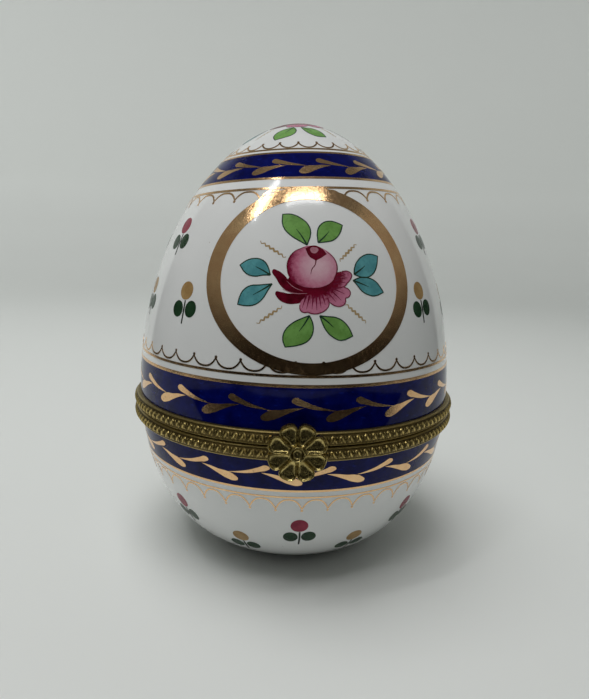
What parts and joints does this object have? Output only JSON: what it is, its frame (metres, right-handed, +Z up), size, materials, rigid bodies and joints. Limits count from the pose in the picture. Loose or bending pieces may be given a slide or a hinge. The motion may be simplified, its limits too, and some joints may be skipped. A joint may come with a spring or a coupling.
{
  "type": "porcelain trinket box",
  "caption": "Egg-shaped hinged trinket box of painted porcelain with embossed brass bezels, a barrel hinge at the back and a sprung flower clasp at the front.",
  "frame": {"origin": "centre of the foot, on the surface the box stands on", "axes": "+Z up, the clasp faces -Y and the hinge is at +Y"},
  "size_m": [0.0686, 0.074, 0.0872],
  "materials": {
    "porcelain": "glossy white glaze with cobalt and gilding",
    "cobalt": "deep blue under a glossy glaze",
    "gilding": "thin brushed-on bright gold",
    "enamel": "painted crimson, pink, green, blue-green and ochre colours",
    "bezel_brass": "antiqued, embossed",
    "hinge_brass": "antiqued, satin",
    "clasp_brass": "antiqued, polished on the high points",
    "cement": "matte plaster"
  },
  "bodies": {
    "base": {"base_bowl": "porcelain", "lower_bezel": "bezel_brass", "lower_cement": "cement", "hinge_leaf_lower": "hinge_brass", "hinge_knuckle_left": "hinge_brass", "hinge_knuckle_right": "hinge_brass", "hinge_pin": "hinge_brass", "catch_plate": "clasp_brass", "catch_stud": "clasp_brass"},
    "lid": {"lid_shell": "porcelain", "upper_bezel": "bezel_brass", "upper_cement": "cement", "hinge_leaf_upper": "hinge_brass", "hinge_knuckle_center": "hinge_brass", "clasp_saddle": "clasp_brass"},
    "clasp": {"clasp_tongue": "clasp_brass", "clasp_flower": "clasp_brass", "clasp_rivet": "clasp_brass"}
  },
  "joints": [
    {"name": "lid_hinge", "type": "hinge", "parent": "base", "child": "lid", "pos_m": [0, 0.03575, 0.03], "axis": [-1, 0, 0], "range_deg": [0, 98]},
    {"name": "clasp_flex", "type": "hinge", "parent": "lid", "child": "clasp", "pos_m": [0, -0.03495, 0.033], "axis": [-1, 0, 0], "range_deg": [0, 5], "stiffness_Nm_per_rad": 0.05}
  ]
}
